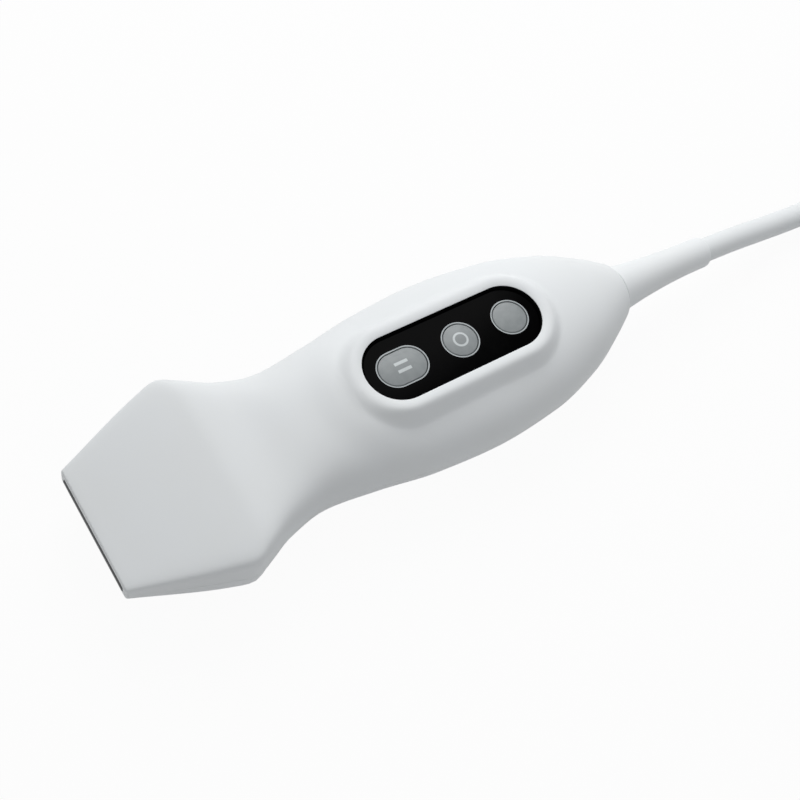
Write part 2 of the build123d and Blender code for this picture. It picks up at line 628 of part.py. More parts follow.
nodes.update({
    "upper_shell": upper_shell,
    "lower_shell": lower_shell,
    "shell_seal": shell_seal,
    "acoustic_lens": acoustic_lens,
    "matching_layer": matching_layer,
    "piezo_array": piezo_array,
    "backing_block": backing_block,
    "array_carrier": array_carrier,
    "array_flex": array_flex,
    "flex_socket": flex_socket,
    "heat_spreader": heat_spreader,
    "main_board": main_board,
    "front_end_chips": front_end_chips,
    "shield_can": shield_can,
    "processor_chip": processor_chip,
    "cable_connector": cable_connector,
    "board_screws": board_screws,
    "button_window": button_window,
    "window_tape": window_tape,
    "trim_rings": trim_rings,
    "dome_switches": dome_switches,
    "ring_lights": ring_lights,
    "key_board": key_board,
    "key_board_screws": key_board_screws,
    "board_link": board_link,
    "strain_relief_boot": strain_relief_boot,
    "cable_clamp": cable_clamp,
    "wire_loom": wire_loom,
    "cable": cable,
    "cable_coil": cable_coil,
    "coil_tie": coil_tie,
    "plug_boot": plug_boot,
    "plug_grip": plug_grip,
    "plug_shell": plug_shell,
    "plug_tongue": plug_tongue,
})
for name, solid in nodes.items():
    export_step(solid, f"parts/{name}.step")
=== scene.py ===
import json
from math import cos, hypot, pi, radians, sin

import bmesh
import bpy
from mathutils import Matrix, Vector


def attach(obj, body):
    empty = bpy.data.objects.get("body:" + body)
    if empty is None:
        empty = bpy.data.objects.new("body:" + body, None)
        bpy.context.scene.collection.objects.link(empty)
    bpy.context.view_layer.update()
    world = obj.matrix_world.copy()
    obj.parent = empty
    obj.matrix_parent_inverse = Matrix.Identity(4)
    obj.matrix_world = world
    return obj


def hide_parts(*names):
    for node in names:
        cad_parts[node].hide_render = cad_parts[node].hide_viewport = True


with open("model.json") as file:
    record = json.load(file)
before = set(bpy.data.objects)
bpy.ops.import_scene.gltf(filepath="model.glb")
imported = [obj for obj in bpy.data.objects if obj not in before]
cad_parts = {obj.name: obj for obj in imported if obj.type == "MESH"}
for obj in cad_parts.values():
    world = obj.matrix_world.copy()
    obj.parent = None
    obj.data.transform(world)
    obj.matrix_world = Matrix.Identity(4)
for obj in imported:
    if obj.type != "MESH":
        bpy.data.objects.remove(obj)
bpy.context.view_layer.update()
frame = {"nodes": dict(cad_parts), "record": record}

mm = 0.001
probe = {"bodyLength": 167.5, "bootLength": 36.0, "seamHeight": 15.4}
frontX = -(probe["bodyLength"] + probe["bootLength"]) / 2


def at(x, y=0.0, z=0.0):  # behind the lens, across, over the seam, in mm
    return Vector(((frontX + x) * mm, y * mm, (probe["seamHeight"] + z) * mm))


def smooth(u):
    u = min(max(u, 0.0), 1.0)
    return u * u * u * (u * (6 * u - 15) + 10)


# shader maths as plain expressions
class Value:
    def __init__(self, paint, socket):
        self.paint = paint
        self.socket = socket

    def math(self, operation, *others):
        return self.paint.node("Math", {"operation": operation}, self, *others)

    def __add__(self, other): return self.math("ADD", other)
    def __radd__(self, other): return self.math("ADD", other)
    def __sub__(self, other): return self.math("SUBTRACT", other)
    def __rsub__(self, other): return self.paint.node("Math", {"operation": "SUBTRACT"}, other, self)
    def __mul__(self, other): return self.math("MULTIPLY", other)
    def __rmul__(self, other): return self.math("MULTIPLY", other)

    def step(self, low, high):
        return self.paint.node("MapRange", {"interpolation_type": "SMOOTHSTEP"}, self, low, high, 0.0, 1.0)


class Paint:
    def __init__(self, name, color=(0.8, 0.8, 0.8), **fixed):
        self.material = bpy.data.materials.new(name)
        self.material.use_nodes = True
        self.nodes = self.material.node_tree.nodes
        self.links = self.material.node_tree.links
        self.nodes.clear()
        self.out = self.nodes.new("ShaderNodeOutputMaterial")
        self.shader = self.nodes.new("ShaderNodeBsdfPrincipled")
        self.links.new(self.shader.outputs[0], self.out.inputs["Surface"])
        self.set(**{"Base Color": (*color, 1.0)})
        self.set(**{key.replace("_", " "): value for key, value in fixed.items()})

    def put(self, socket, value):
        if isinstance(value, Value):
            self.links.new(value.socket, socket)
        else:
            socket.default_value = value

    def set(self, **sockets):
        for name, value in sockets.items():
            self.put(self.shader.inputs[name], value)

    def node(self, kind, settings=None, *values, output=0, **named):
        made = self.nodes.new("ShaderNode" + kind)
        for key, value in (settings or {}).items():
            setattr(made, key, value)
        for socket, value in zip(made.inputs, values):
            if value is not None:
                self.put(socket, value)
        for key, value in named.items():
            self.put(made.inputs[key.replace("_", " ")], value)
        return Value(self, made.outputs[output])

    def place(self):
        return self.node("TexCoord", output="Object")

    def axes(self, point=None):
        split = self.node("SeparateXYZ", None, point or self.place())
        outputs = split.socket.node.outputs
        return [Value(self, outputs[i]) for i in range(3)]

    def noise(self, scale, detail=2.0, roughness=0.5, point=None):
        return self.node("TexNoise", {"noise_dimensions": "3D"}, Vector=point or self.place(),
                         Scale=scale, Detail=detail, Roughness=roughness)

    def blendColor(self, factor, first, second):
        ends = [end if isinstance(end, Value) else (*end, 1.0) for end in (first, second)]
        return self.node("Mix", {"data_type": "RGBA"}, factor, *[None] * 5, *ends, output=2)

    def bump(self, height, depth, strength=1.0):
        self.set(Normal=self.node("Bump", None, Strength=strength, Distance=depth, Height=height))


def newMesh(name, bm, paint, angle=35.0):
    mesh = bpy.data.meshes.new(name)
    bm.to_mesh(mesh)
    bm.free()
    piece = bpy.data.objects.new(name, mesh)
    bpy.context.scene.collection.objects.link(piece)
    mesh.materials.append(paint.material)
    mesh.shade_smooth()
    mesh.set_sharp_from_angle(angle=radians(angle))
    return piece


def finishPiece(piece, body, slot, *nodes):
    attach(piece, body)
    if nodes:
        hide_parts(*nodes)
    return piece


# housing finish: satin white moulding with a fine spark-eroded grain
def whiteMoulding(name, tint, grain, rough):
    paint = Paint(name, tint, IOR=1.49, Specular_IOR_Level=0.28)
    cloud = paint.noise(38.0, 3.0)
    fine = paint.noise(grain, 3.0, 0.6)
    hands = paint.noise(95.0, 5.0, 0.65)
    warm = tuple(c * k for c, k in zip(tint, (0.985, 0.98, 0.97)))
    paint.set(**{"Base Color": paint.blendColor(cloud.step(0.35, 0.7) * 0.6, tint, warm)})
    paint.set(Roughness=rough + (hands - 0.5) * 0.10 + (fine - 0.5) * 0.06)
    paint.bump(fine, 0.00003, 0.35)
    return paint


shellWhite = whiteMoulding("shellWhite", (0.80, 0.82, 0.83), 4200.0, 0.52)
bootWhite = whiteMoulding("bootWhite", (0.83, 0.85, 0.86), 2600.0, 0.56)
print("paints for the housing")

# housing: two half shells lofted through the probe's sections
housing = {
    "sections": [  # behind the lens, half width, crown, belly, fullness, crispness over and under
        (0.3, 18.2, 3.3, 3.2, 0.9, 1.0, 0.95),
        (25.5, 27.2, 9.2, 7.6, 0.9, 1.0, 0.85),
        (31.0, 28.6, 10.3, 8.5, 0.88, 0.95, 0.7),
        (36.0, 26.7, 11.1, 9.6, 0.84, 0.75, 0.45),
        (45.0, 22.7, 11.2, 11.7, 0.76, 0.4, 0.2),
        (56.5, 20.5, 12.7, 13.1, 0.68, 0.1, 0.0),
        (72.0, 22.3, 14.8, 14.1, 0.64, 0.0, 0.0),
        (90.0, 25.2, 15.4, 16.0, 0.62, 0.0, 0.0),
        (109.0, 26.3, 15.9, 16.0, 0.62, 0.0, 0.0),
        (130.0, 24.5, 15.6, 15.6, 0.62, 0.0, 0.0),
        (147.0, 19.7, 14.6, 13.8, 0.62, 0.0, 0.0),
        (159.0, 13.6, 11.8, 11.0, 0.6, 0.0, 0.0),
        (167.5, 8.4, 8.4, 8.4, 0.5523, 0.0, 0.0),
    ],
    "wall": 2.0, "cavityFront": 10.5, "tailWall": 5.0,
    "lipRound": 0.5, "tailRound": 1.6, "seamEase": 0.07,
    "lensHalfWidth": 16.2, "lensHalfHeight": 1.4, "neckRadius": 6.0,
    "fineFrom": 72.0, "fineTo": 140.0, "fineStep": 0.6, "step": 1.8,
    "aroundTop": 150, "aroundBelly": 90, "roundRings": 6,
}
panel = {
    "at": 105.3, "halfLength": 27.7, "halfWidth": 9.9, "ledge": 14.4, "ledgeWidth": 1.2,
    "rimTop": 17.5, "crest": 1.8, "innerDrop": 0.4, "foot": 6.8,
    "rimProud": 1.1, "swellFoot": 17.0,  # the housing swells up to the rim ahead of the window
    "inward": 0.5, "pocketFloor": 5.0, "pocketOver": 2.0, "points": 128,
}
columns = list(zip(*housing["sections"]))


def slopes(xs, ys):
    spans = [b - a for a, b in zip(xs, xs[1:])]
    rises = [(b - a) / span for a, b, span in zip(ys, ys[1:], spans)]
    found = [rises[0]]
    for before, after, span, nextSpan in zip(rises, rises[1:], spans, spans[1:]):
        near, far = 2 * nextSpan + span, nextSpan + 2 * span
        found.append(0.0 if before * after <= 0 else (near + far) / (near / before + far / after))
    return found + [rises[-1]]


leads = [slopes(columns[0], column) for column in columns]


def fair(x, column):  # one size of the housing, faired through the sections
    xs, ys, ms = columns[0], columns[column], leads[column]
    i = max(n for n in range(len(xs) - 1) if n == 0 or xs[n] <= x)
    span = xs[i + 1] - xs[i]
    u = (x - xs[i]) / span
    start = (1 + 2 * u) * (1 - u) ** 2 * ys[i] + u * (1 - u) ** 2 * span * ms[i]
    finish = u * u * (3 - 2 * u) * ys[i + 1] + u * u * (u - 1) * span * ms[i + 1]
    return start + finish


def quarter(w, h, k, crisp, t):  # a corner from the flank (t 0) to the ridge (t 1)
    rise = 0.6 * k + crisp * (0.5 - 0.6 * k)
    reach = 0.6 * k + crisp * (1 - 0.6 * k)
    far = 0.3 + 0.6 * k + crisp * (0.7 - 0.6 * k)
    wide = 0.7 + 0.3 * k + crisp * 0.3 * (1 - k)
    u = 1 - t
    b = (u ** 5, 5 * t * u ** 4, 10 * t ** 2 * u ** 3, 10 * t ** 3 * u ** 2, 5 * t ** 4 * u, t ** 5)
    across = b[0] + b[1] + wide * b[2] + far * b[3] + reach * b[4]
    return w * across, h * (rise * b[1] + far * b[2] + wide * b[3] + b[4] + b[5])


def oblongDistance(x, y):  # outside the window's outline, in mm
    straight = panel["halfLength"] - panel["halfWidth"]
    along = max(abs(x - panel["at"]) - straight, 0.0)
    return hypot(along, y) - panel["halfWidth"]


def rimLift(x, y, z):  # the soft rim that stands up round the window
    d = oblongDistance(x, y)
    forward = max(panel["at"] - panel["halfLength"] + panel["halfWidth"] - x, 0.0)
    if forward > 0:
        swell = (forward / hypot(forward, y)) ** 2 * (1 - smooth(d / panel["swellFoot"]))
        z += max(panel["rimTop"] - panel["rimProud"] - z, 0.0) * swell
    if d > panel["foot"]:
        return z
    crest = panel["rimTop"]
    if d < panel["crest"]:
        dip = (panel["crest"] - max(d, -panel["inward"])) / panel["crest"]
        return crest - panel["innerDrop"] * dip * dip
    share = smooth((d - panel["crest"]) / (panel["foot"] - panel["crest"]))
    return crest + (z - crest) * share


def halfSection(x, inset, across, top):  # across runs 0 to 1 from one flank to the other
    w = fair(x, 1) - inset
    h = fair(x, 2 if top else 3) - inset
    t = 1 - abs(2 * across - 1)
    y, z = quarter(w, h, fair(x, 4), fair(x, 5 if top else 6), t)
    y = y if across < 0.5 else -y
    if not top:
        z = -min(z, probe["seamHeight"] - (inset if inset >= housing["wall"] else 0.0))
    return y, z


def stations():  # (place behind the lens, edge rounding there), from the lip to the tail
    spec = housing
    lip, tail = columns[0][0], probe["bodyLength"]
    turns = [pi / 2 * i / spec["roundRings"] for i in range(spec["roundRings"] + 1)]
    found = [(lip + spec["lipRound"] * (1 - cos(turn)), spec["lipRound"] * (1 - sin(turn)))
             for turn in turns]
    x = lip + spec["lipRound"]
    while x < tail - spec["tailRound"] - spec["step"]:
        x += spec["fineStep"] if spec["fineFrom"] <= x < spec["fineTo"] else spec["step"]
        found.append((x, 0.0))
    return found + [(tail - spec["tailRound"] * (1 - sin(turn)), spec["tailRound"] * (1 - cos(turn)))
                    for turn in turns]


def innerPoint(x, across, top):
    spec = housing
    t = 1 - abs(2 * across - 1)
    side = 1 if across < 0.5 else -1
    if spec["cavityFront"] < x < probe["bodyLength"] - spec["tailWall"]:
        return halfSection(x, spec["wall"], across, top)
    if x < spec["cavityFront"]:
        y, z = quarter(spec["lensHalfWidth"], spec["lensHalfHeight"], 1.0, 1.0, t)
    else:
        y, z = spec["neckRadius"] * cos(t * pi / 2), spec["neckRadius"] * sin(t * pi / 2)
    return side * y, z if top else -z


def faceOutward(bm):
    bmesh.ops.recalc_face_normals(bm, faces=bm.faces)
    if bm.calc_volume(signed=True) < 0:
        bmesh.ops.reverse_faces(bm, faces=bm.faces)
    return bm


def gridWall(bm, stations, around, locate):
    made = bmesh.ops.create_grid(bm, x_segments=len(stations) - 1, y_segments=around, size=0.5)
    for v in made["verts"]:
        i = round((v.co.x + 0.5) * (len(stations) - 1))
        v.co = locate(stations[i], v.co.y + 0.5)
    return made["verts"]


def loopEdges(verts):  # the edges that run between these vertices
    own = dict.fromkeys(verts)
    return [e for e in dict.fromkeys(e for v in own for e in v.link_edges)
            if e.verts[0] in own and e.verts[1] in own]


def openLoop(verts):
    return [e for e in loopEdges(verts) if e.is_boundary]


def halfShell(top):
    spec = housing
    around = spec["aroundTop"] if top else spec["aroundBelly"]
    ease = spec["seamEase"]

    def outside(station, across):
        x, inset = station
        y, z = halfSection(x, inset, across, top)
        if top:
            z = rimLift(x, y, z)
        if across < 1e-6 or across > 1 - 1e-6:
            y -= ease * (1 if y > 0 else -1)
            z = ease / 2 if top else -ease / 2
        return at(x, y, z)

    def inside(station, across):
        x = station[0]
        y, z = innerPoint(x, across, top)
        if abs(z) < 1e-6:
            z = ease / 2 if top else -ease / 2
        return at(x, y, z)

    bm = bmesh.new()
    outer = gridWall(bm, stations(), around, outside)
    inner = gridWall(bm, stations(), around, inside)
    bmesh.ops.bridge_loops(bm, edges=openLoop(outer) + openLoop(inner))
    bmesh.ops.remove_doubles(bm, verts=bm.verts, dist=1e-7)
    return faceOutward(bm)


def ringStack(rings, closed=False):  # rings of points, each drawn out of the one before
    bm = bmesh.new()
    place = {}
    for i, v in enumerate(bmesh.ops.create_circle(bm, segments=len(rings[0]), radius=mm)["verts"]):
        place[v] = i
        v.co = rings[0][i]
    first = edges = loopEdges(place)
    for ring in rings[1:] + (rings[:1] if closed else []):
        drawn = bmesh.ops.extrude_edge_only(bm, edges=edges)["geom"]
        fresh = dict.fromkeys(v for v in drawn if isinstance(v, bmesh.types.BMVert))
        for v in fresh:
            root = next(e.other_vert(v) for e in v.link_edges if e.other_vert(v) not in fresh)
            place[v] = place[root]
            v.co = ring[place[v]]
        edges = loopEdges(fresh)
    if closed:
        bmesh.ops.remove_doubles(bm, verts=bm.verts, dist=1e-8)
    else:
        for loop in (first, edges):
            bmesh.ops.contextual_create(bm, geom=loop)
    return faceOutward(bm)


def oblongRing(x, halfLength, halfWidth, z, points):
    ring = []
    for i in range(points):
        turn = 2 * pi * (i + 0.5) / points
        straight = (halfLength - halfWidth) * (1 if cos(turn) > 0 else -1)
        ring.append(at(x + straight + halfWidth * cos(turn), halfWidth * sin(turn), z))
    return ring


def oblongStack(levels, points):  # (middle x, half length, half width, height) from the bottom up
    return ringStack([oblongRing(*level, points) for level in levels])


def rectRing(x, y, z, halfWidth, halfHeight, corner, points=7):
    ring = []
    for i, (sideY, sideZ) in enumerate(((1, 1), (-1, 1), (-1, -1), (1, -1))):
        for n in range(points):
            turn = pi / 2 * (i + n / (points - 1))
            ring.append(at(x, y + sideY * (halfWidth - corner) + corner * cos(turn),
                           z + sideZ * (halfHeight - corner) + corner * sin(turn)))
    return ring


def cutAway(piece, cutterBm):
    mesh = bpy.data.meshes.new("cutter")
    cutterBm.to_mesh(mesh)
    cutterBm.free()
    cutter = bpy.data.objects.new("cutter", mesh)
    bpy.context.scene.collection.objects.link(cutter)
    tool = piece.modifiers.new("cut", "BOOLEAN")
    tool.object = cutter
    tool.operation = "DIFFERENCE"
    tool.solver = "EXACT"
    bpy.context.view_layer.update()
    shaped = bpy.data.meshes.new_from_object(piece.evaluated_get(bpy.context.evaluated_depsgraph_get()))
    piece.modifiers.clear()
    piece.data = shaped
    bpy.data.objects.remove(cutter)
    bpy.data.meshes.remove(mesh)


upperShell = newMesh("upperHousing", halfShell(True), shellWhite)
inner = (panel["halfLength"] - panel["ledgeWidth"], panel["halfWidth"] - panel["ledgeWidth"])
cutAway(upperShell, oblongStack([
    (panel["at"], *inner, panel["pocketFloor"]),
    (panel["at"], *inner, panel["ledge"]),
    (panel["at"], panel["halfLength"], panel["halfWidth"], panel["ledge"]),
    (panel["at"], panel["halfLength"], panel["halfWidth"], panel["rimTop"] + panel["pocketOver"]),
], panel["points"]))
upperShell.data.set_sharp_from_angle(angle=radians(35))
finishPiece(upperShell, "probe", "housing", "upper_shell")
lowerShell = newMesh("lowerHousing", halfShell(False), shellWhite)
finishPiece(lowerShell, "probe", "housing", "lower_shell")
print("housing", len(upperShell.data.polygons), len(lowerShell.data.polygons))

# painted shade: a black bead that fills the corner between the window and the rim and lines the rim's inner
# wall, a dark strip standing in for the shade on that wall
shadeBead = {"width": 0.7, "foot": 16.01, "top": 16.95, "gap": 0.03,
        "ease": 0.25, "easeDrop": 0.05, "toe": 0.3, "toeIn": 0.05}


def shadeBeadMesh():
    spec = shadeBead
    long, wide = panel["halfLength"] - spec["gap"], panel["halfWidth"] - spec["gap"]
    corners = ((spec["width"], spec["foot"]), (0.0, spec["foot"]), (0.0, spec["top"]),
               (spec["ease"], spec["top"] - spec["easeDrop"]),
               (spec["width"] - spec["toeIn"], spec["foot"] + spec["toe"]))
    return ringStack([oblongRing(panel["at"], long - inset, wide - inset, level, panel["points"])
                      for inset, level in corners], closed=True)


# button caps: low domes on a flange, with a printed mark on two of them
caps = {
    "freeze_button": {"at": 89.0, "halfLength": 7.6, "halfWidth": 5.45, "mark": "pause"},
    "mode_button": {"at": 107.65, "halfLength": 5.45, "halfWidth": 5.45, "mark": "ring"},
    "save_button": {"at": 124.15, "halfLength": 5.45, "halfWidth": 5.45, "mark": None},
}
capForm = {"ringWall": 0.35, "clearance": 0.25, "top": 16.3, "edge": 15.95, "flangeTop": 14.45,
           "flangeThick": 0.8, "flangeOut": 0.5, "stemRadius": 1.5, "stemEnd": 11.3, "points": 72,
           "shoulderIn": 0.3, "shoulderDrop": 0.25, "shoulderSteps": 5,
           "crownSteps": (0.15, 0.35, 0.55, 0.75, 0.9, 0.985)}
marks = {"barOut": 1.15, "barHalf": 0.42, "barReach": 2.0, "ringRadius": 1.9, "ringHalf": 0.26, "soft": 0.08,
         "white": (0.66, 0.70, 0.71)}


def capPaint(name, mark, middle):
    paint = Paint(name, (0.25, 0.27, 0.275), IOR=1.47)
    fine = paint.noise(5200.0, 2.0, 0.6)
    cloud = paint.noise(420.0, 3.0)
    grey = paint.blendColor(cloud.step(0.3, 0.7), (0.235, 0.255, 0.26), (0.265, 0.285, 0.29))
    if mark:
        x, y, z = paint.axes()
        x, y = (x - middle.x) * (1 / mm), (y - middle.y) * (1 / mm)
        soft = marks["soft"]
        if mark == "pause":
            across = (y.math("ABSOLUTE") - marks["barOut"]).math("ABSOLUTE")
            printed = 1.0 - across.step(marks["barHalf"], marks["barHalf"] + soft)
            printed *= 1.0 - x.math("ABSOLUTE").step(marks["barReach"], marks["barReach"] + soft)
        else:
            away = ((x * x + y * y).math("SQRT") - marks["ringRadius"]).math("ABSOLUTE")
            printed = 1.0 - away.step(marks["ringHalf"], marks["ringHalf"] + soft)
        printed *= 0.75 + (fine - 0.5) * 0.5
        grey = paint.blendColor(printed, grey, marks["white"])
    paint.set(**{"Base Color": grey})
    paint.set(Roughness=0.42 + (fine - 0.5) * 0.12)
    paint.bump(fine, 0.00002, 0.3)
    return paint


def capMesh(spec):
    form = capForm
    cut = form["ringWall"] + form["clearance"]
    a, b = spec["halfLength"] - cut, spec["halfWidth"] - cut
    out = form["flangeOut"]
    under = form["flangeTop"] - form["flangeThick"]
    x = spec["at"]
    levels = [(x, form["stemRadius"], form["stemRadius"], form["stemEnd"]),
              (x, form["stemRadius"], form["stemRadius"], under),
              (x, spec["halfLength"] + out, spec["halfWidth"] + out, under),
              (x, spec["halfLength"] + out, spec["halfWidth"] + out, form["flangeTop"]),
              (x, a, b, form["flangeTop"]), (x, a, b, form["edge"] - form["shoulderDrop"])]
    for i in range(1, form["shoulderSteps"] + 1):  # rounded shoulder
        turn = pi / 2 * i / form["shoulderSteps"]
        inset = form["shoulderIn"] * (1 - cos(turn))
        levels.append((x, a - inset, b - inset, form["edge"] - form["shoulderDrop"] * (1 - sin(turn))))
    for share in form["crownSteps"]:  # low crown
        inset = form["shoulderIn"] + (b - form["shoulderIn"]) * share
        rise = (form["top"] - form["edge"]) * (1 - (1 - share) ** 2)
        levels.append((x, a - inset, b - inset, form["edge"] + rise))
    return oblongStack(levels, form["points"])


for name, spec in caps.items():
    capGrey = capPaint(name, spec["mark"], at(spec["at"]))
    cap = newMesh(name.replace("_button", "Cap"), capMesh(spec), capGrey, 40)
    finishPiece(cap, name, "cap", name)
print("caps")

# lead: drooping out of the boot to a folded hank of four turns, then up to the plug
lead = {"radius": 3.75, "start": 155.0, "bend": 200.0, "level": 248.0, "end": 260.0, "levelZ": -10.35,
        "swing": [(270.0, 2.2), (281.0, 8.4)], "hankAt": 292.0, "hankRun": 80.0, "hankY": -20.0,
        "inner": 22.5, "outer": 29.95, "ridge": 26.25, "lowZ": -10.85, "highZ": -3.35, "ridgeZ": 4.0,
        "changeFrom": [0.63, 0.54, 0.42, 0.28], "changeOver": 0.24, "turnPoints": 24,
        "tail": [(8.0, 4.8), (18.0, 5.6)], "length": 1.45}


def hankLay(u):  # fold radius and height after u turns, each change made in the front fold
    spec = lead
    lays = [(spec["outer"], spec["lowZ"]), (spec["inner"], spec["lowZ"]), (spec["inner"], spec["highZ"]),
            (spec["outer"], spec["highZ"]), (spec["ridge"], spec["ridgeZ"])]
    i = min(int(u), len(lays) - 2)
    share = smooth((u - i - spec["changeFrom"][i]) / spec["changeOver"])
    return tuple(here + (after - here) * share for here, after in zip(lays[i], lays[i + 1]))


def hankPoint(u):  # along the far leg, round the back fold, up the near leg, round the front fold
    spec = lead
    r, z = hankLay(u)
    run = spec["hankRun"]
    fold = pi * r
    along = (u % 1.0) * 2 * (run + fold)
    way, along = divmod(along, run + fold)
    side = 1 if way < 1 else -1
    if along < run:
        x, y = along, r
    else:
        turn = (along - run) / r
        spread = r / cos((run + fold) / spec["turnPoints"] / r)
        x, y = run + spread * sin(turn), spread * cos(turn)
    return at(spec["hankAt"] + (x if side > 0 else run - x), spec["hankY"] + side * y, z)


def leadRoute():
    spec = lead
    points = [at(spec["start"]), at(spec["bend"]), at(spec["level"], 0, spec["levelZ"]),
              at(spec["end"], 0, spec["levelZ"])]
    points += [at(x, y, spec["lowZ"]) for x, y in spec["swing"]]
    turns = len(spec["changeFrom"])
    points += [hankPoint((i + 0.5) / spec["turnPoints"]) for i in range(turns * spec["turnPoints"])]
    tailY = spec["hankY"] + spec["ridge"]
    return points + [at(spec["hankAt"] + x, tailY, z) for x, z in spec["tail"]]


jacketGrey = whiteMoulding("jacketGrey", (0.80, 0.82, 0.83), 1800.0, 0.52)


def leadCurve():
    data = bpy.data.curves.new("lead", "CURVE")
    data.dimensions = "3D"
    data.bevel_depth = lead["radius"] * mm
    data.bevel_resolution = 7
    data.use_fill_caps = True
    data.resolution_u = 8
    spline = data.splines.new("NURBS")
    route = leadRoute()
    spline.points.add(len(route) - 1)
    for point, spot in zip(spline.points, route):
        point.co = (*spot, 1.0)
    spline.order_u = 3
    spline.use_endpoint_u = True
    data.materials.append(jacketGrey.material)
    piece = bpy.data.objects.new("lead", data)
    bpy.context.scene.collection.objects.link(piece)
    return piece


leadPiece = leadCurve()
finishPiece(leadPiece, "probe", "jacket", "cable", "cable_coil")
print("lead")

# tail boot: a spun sleeve that flares onto the housing and droops with the lead
boot = {"baseRadius": 7.2, "tipRadius": 4.8, "boreRadius": 3.78, "neckRadius": 6.0, "lip": 0.7,
        "flange": 7.2, "flangeThick": 2.0, "flare": 2.2, "steps": 28, "lipSteps": 5, "around": 72,
        "seatGap": 0.05, "baseEase": 0.25, "baseRound": 0.3}


def bootProfile():
    spec = boot
    tail, tip = probe["bodyLength"], probe["bodyLength"] + probe["bootLength"]
    back = tail - housing["tailWall"]
    seat = tail + spec["seatGap"]
    points = [(back - spec["flangeThick"], spec["boreRadius"]), (back - spec["flangeThick"], spec["flange"]),
              (back, spec["flange"]), (back, spec["neckRadius"]), (seat, spec["neckRadius"]),
              (seat, spec["baseRadius"] - spec["baseEase"]), (tail + spec["baseRound"], spec["baseRadius"])]
    length = tip - spec["lip"] - tail
    for i in range(1, spec["steps"] + 1):
        u = i / spec["steps"]
        r = spec["tipRadius"] + (spec["baseRadius"] - spec["tipRadius"]) * (1 - u) ** spec["flare"]
        points.append((tail + length * u, r))
    for i in range(1, spec["lipSteps"] + 1):
        turn = pi / 2 * i / spec["lipSteps"]
        points.append((tip - spec["lip"] * (1 - sin(turn)),
                       spec["tipRadius"] - spec["lip"] * (1 - cos(turn))))
    points.append((tip, spec["boreRadius"]))
    return points


def spunPiece(profile, steps, middleY=0.0, middleZ=0.0):
    bm = bmesh.new()
    verts = [bm.verts.new(at(x, middleY, middleZ + r)) for x, r in profile]
    edges = [bm.edges.new(pair) for pair in zip(verts, verts[1:] + verts[:1])]
    bmesh.ops.spin(bm, geom=verts + edges, cent=at(0, middleY, middleZ), axis=(1, 0, 0), angle=2 * pi,
                   steps=steps, use_merge=True)
    bmesh.ops.remove_doubles(bm, verts=bm.verts, dist=1e-7)
    return faceOutward(bm)


def leadLine():  # points along the lead's own spline
    bare = leadPiece.copy()
    bare.data = leadPiece.data.copy()
    bare.data.bevel_depth = 0.0
    mesh = bpy.data.meshes.new_from_object(bare)
    line = [v.co.copy() for v in mesh.vertices]
    curve = bare.data
    bpy.data.objects.remove(bare)
    bpy.data.curves.remove(curve)
    bpy.data.meshes.remove(mesh)
    return line


def droop(bm, line):  # carries a straight piece along the lead
    reach = [0.0]
    for before, after in zip(line, line[1:]):
        reach.append(reach[-1] + (after - before).length)
    start = at(lead["start"])
    for v in bm.verts:
        along = max(v.co.x - start.x, 0.0)
        i = max(n for n in range(len(line) - 1) if reach[n] <= along)
        ways = [(line[n + 1] - line[n]).normalized() for n in (i, i + 1)]
        share = (along - reach[i]) / (reach[i + 1] - reach[i])
        way = ways[0].lerp(ways[1], share).normalized()
        upright = Vector((-way.z, 0.0, way.x))
        v.co = line[i].lerp(line[i + 1], share) + upright * (v.co.z - start.z) + Vector((0.0, v.co.y, 0.0))


bootBm = spunPiece(bootProfile(), boot["around"])
droop(bootBm, leadLine())
tailBoot = newMesh("tailBoot", bootBm, bootWhite, 50)
finishPiece(tailBoot, "probe", "boot", "strain_relief_boot")
print("boot")

# plug on the hank: ribbed sleeve, grooved grip, folded steel shell
plug = {"y": 6.25, "z": 5.6, "sleeveFrom": 306.0, "gripFrom": 320.0, "gripTo": 352.0, "shellFrom": 347.0,
        "shellTo": 370.0, "boreRadius": 3.8, "tipRadius": 4.7, "rootRadius": 5.0, "ribs": 5, "ribPitch": 2.4,
        "ribWidth": 1.1, "ribDepth": 0.6, "halfWidth": 8.5, "halfHeight": 5.2, "corner": 2.0, "ease": 0.7,
        "grooves": 6, "grooveFrom": 326.5, "groovePitch": 3.0, "grooveWidth": 1.5, "grooveDepth": 0.45,
        "shellHalfWidth": 6.0, "shellHalfHeight": 2.25, "shellWall": 0.4, "shellCorner": 0.7,
        "shellLip": 0.15, "tipEase": 0.3, "ribFrom": 1.4, "around": 48,
        "padsFrom": 4.0, "padsSoft": 0.1, "padsPerMetre": 400.0}
softGroove = ((0.0, 0.0), (0.12, 0.55), (0.28, 1.0), (0.72, 1.0), (0.88, 0.55), (1.0, 0.0))


def dented(start, width, depth):  # (place, depth) across one soft groove
    return [(start + width * u, depth * share) for u, share in softGroove]


def sleeveProfile():
    spec = plug
    tip, root = spec["sleeveFrom"], spec["gripFrom"]
    rise = (spec["rootRadius"] - spec["tipRadius"]) / (root - tip)
    places = [(tip, spec["tipEase"]), (tip + spec["tipEase"], 0.0)]
    for i in range(spec["ribs"]):
        places += dented(tip + spec["ribFrom"] + i * spec["ribPitch"], spec["ribWidth"], spec["ribDepth"])
    places.append((root, 0.0))
    outer = [(x, spec["tipRadius"] + rise * (x - tip) - dent) for x, dent in places]
    return [(tip, spec["boreRadius"])] + outer + [(root, spec["boreRadius"])]


